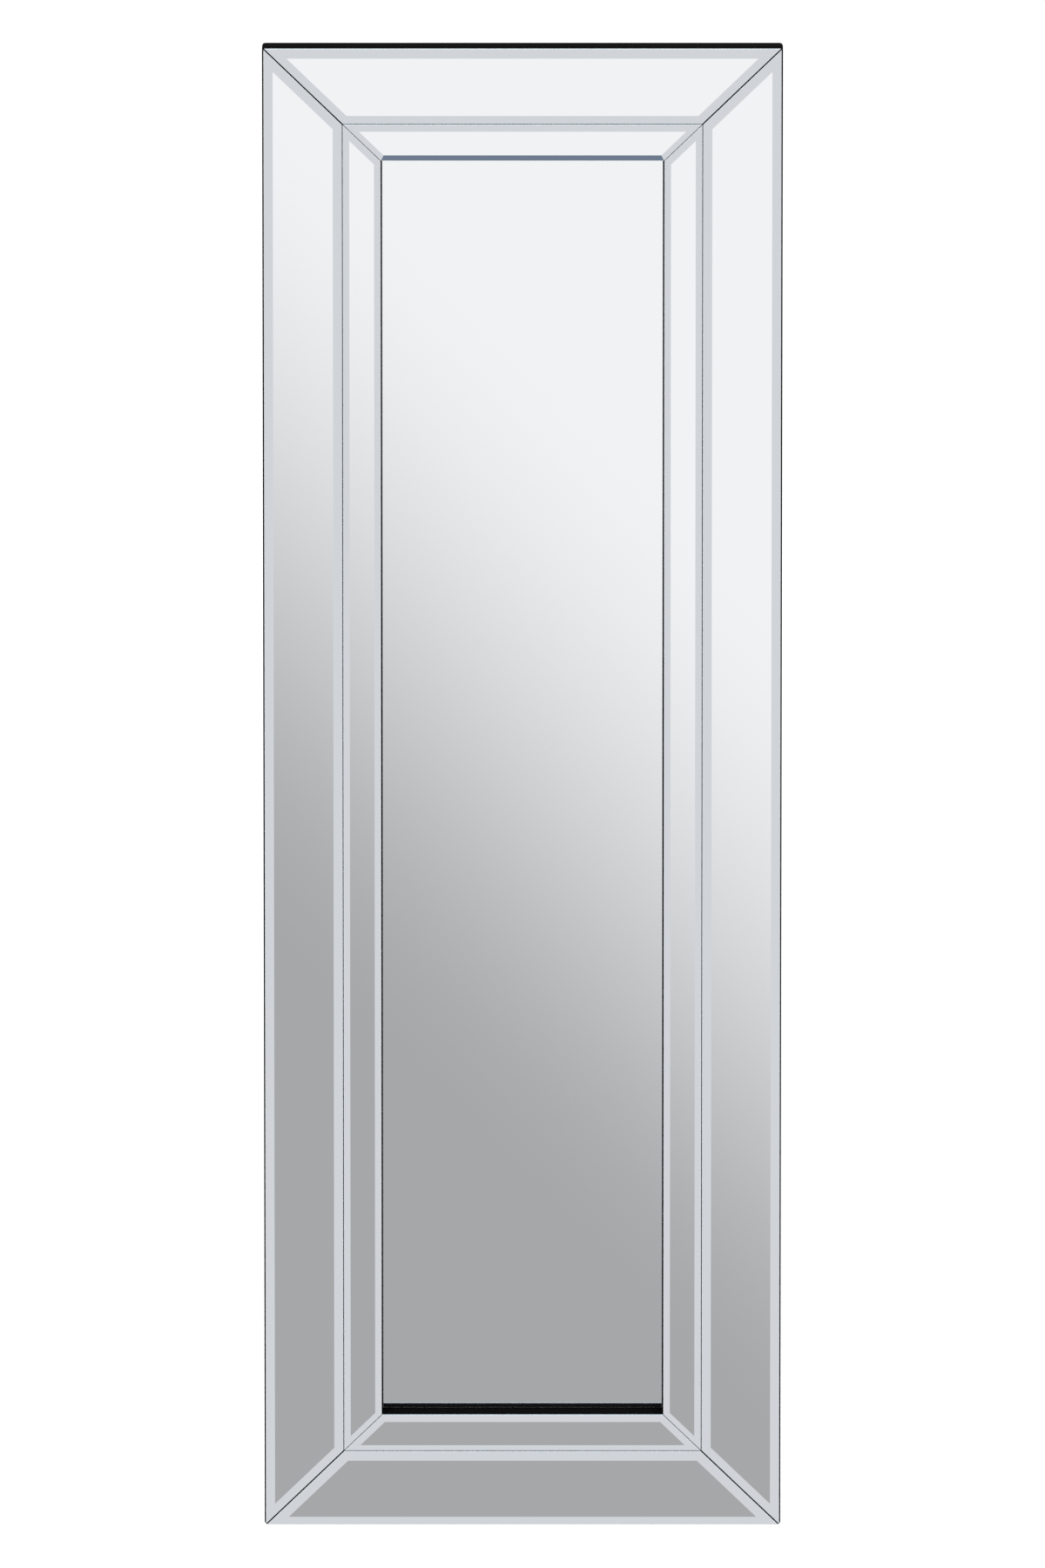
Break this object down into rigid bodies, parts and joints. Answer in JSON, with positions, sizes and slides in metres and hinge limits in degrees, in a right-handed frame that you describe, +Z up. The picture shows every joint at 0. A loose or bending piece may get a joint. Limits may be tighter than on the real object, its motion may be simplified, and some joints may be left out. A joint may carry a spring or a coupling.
{
  "type": "beveled mirror",
  "caption": "Tall wall mirror framed by two rings of bevelled mirror strips on a black board, with a recessed centre pane and D-ring hangers behind.",
  "frame": {"origin": "centre of the wall plane, which the faces of the four rubber bumpers rest on, at half the mirror's height", "axes": "+Z up the mirror's 1200 mm length, +Y into the wall, +X to the right seen from the front; the glass looks towards -Y"},
  "size_m": [0.4, 0.03, 1.2],
  "materials": {
    "silvered_glass": "polished and silvered",
    "black_board": "satin black paint on MDF",
    "foam_tape": "closed cell foam",
    "mastic": "cured mirror mastic",
    "nail_steel": "stamped strip",
    "screw_steel": "bright zinc plated",
    "zinc_steel": "zinc plated",
    "bumper_rubber": "matt"
  },
  "bodies": {
    "root": {"backboard": "black_board", "backboard_screws": "screw_steel", "bottom_rail": "black_board", "centre_mastic": "mastic", "centre_mirror": "silvered_glass", "corner_v_nails": "nail_steel", "hanger_plate_landscape_lower": "zinc_steel", "hanger_plate_landscape_upper": "zinc_steel", "hanger_plate_portrait_left": "zinc_steel", "hanger_plate_portrait_right": "zinc_steel", "hanger_screws_landscape_lower": "screw_steel", "hanger_screws_landscape_upper": "screw_steel", "hanger_screws_portrait_left": "screw_steel", "hanger_screws_portrait_right": "screw_steel", "inner_strip_bottom": "silvered_glass", "inner_strip_left": "silvered_glass", "inner_strip_right": "silvered_glass", "inner_strip_top": "silvered_glass", "inner_tape_bottom": "foam_tape", "inner_tape_left": "foam_tape", "inner_tape_right": "foam_tape", "inner_tape_top": "foam_tape", "left_stile": "black_board", "outer_strip_bottom": "silvered_glass", "outer_strip_left": "silvered_glass", "outer_strip_right": "silvered_glass", "outer_strip_top": "silvered_glass", "outer_tape_bottom": "foam_tape", "outer_tape_left": "foam_tape", "outer_tape_right": "foam_tape", "outer_tape_top": "foam_tape", "right_stile": "black_board", "top_rail": "black_board", "wall_bumper_bottom_left": "bumper_rubber", "wall_bumper_bottom_right": "bumper_rubber", "wall_bumper_top_left": "bumper_rubber", "wall_bumper_top_right": "bumper_rubber"},
    "ring_portrait_left": {"hanger_ring_portrait_left": "zinc_steel"},
    "ring_portrait_right": {"hanger_ring_portrait_right": "zinc_steel"},
    "ring_landscape_upper": {"hanger_ring_landscape_upper": "zinc_steel"},
    "ring_landscape_lower": {"hanger_ring_landscape_lower": "zinc_steel"}
  },
  "joints": [
    {"name": "portrait_left_ring_swing", "type": "hinge", "parent": "root", "child": "ring_portrait_left", "pos_m": [-0.1543, -0.00385, 0.4], "axis": [1, 0, 0], "range_deg": [0, 175]},
    {"name": "portrait_right_ring_swing", "type": "hinge", "parent": "root", "child": "ring_portrait_right", "pos_m": [0.1543, -0.00385, 0.4], "axis": [1, 0, 0], "range_deg": [0, 175]},
    {"name": "landscape_upper_ring_swing", "type": "hinge", "parent": "root", "child": "ring_landscape_upper", "pos_m": [0.175, -0.00385, 0.28], "axis": [0, 0, -1], "range_deg": [0, 175]},
    {"name": "landscape_lower_ring_swing", "type": "hinge", "parent": "root", "child": "ring_landscape_lower", "pos_m": [0.175, -0.00385, -0.28], "axis": [0, 0, -1], "range_deg": [0, 175]}
  ]
}
